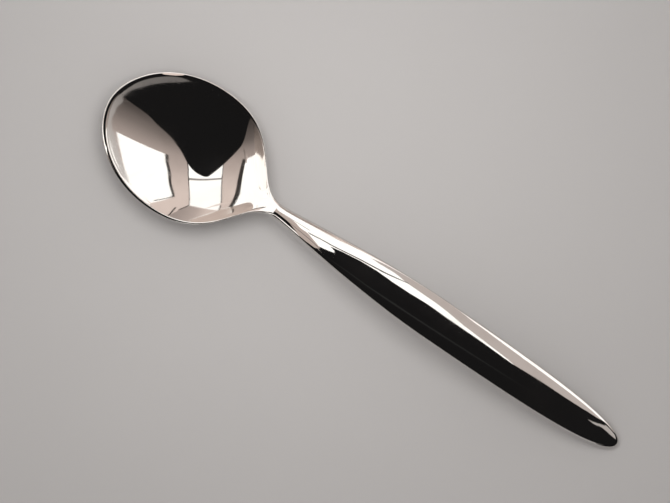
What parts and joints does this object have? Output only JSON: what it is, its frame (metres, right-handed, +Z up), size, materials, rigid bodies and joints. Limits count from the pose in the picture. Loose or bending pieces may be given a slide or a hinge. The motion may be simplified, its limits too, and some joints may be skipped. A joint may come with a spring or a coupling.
{
  "type": "soup spoon",
  "caption": "One-piece metal soup spoon: a dished oval bowl with a flat rim, a narrow neck and an arched handle that tapers to a rounded tip.",
  "frame": {"origin": "on the table below the middle of the spoon's length and width", "axes": "+X from the bowl along the handle to its tip, +Y across the spoon, +Z up out of the open bowl"},
  "size_m": [0.176, 0.0406, 0.0165],
  "materials": {
    "steel": "mirror polished stainless steel"
  },
  "bodies": {
    "root": {"spoon": "steel"}
  },
  "joints": []
}
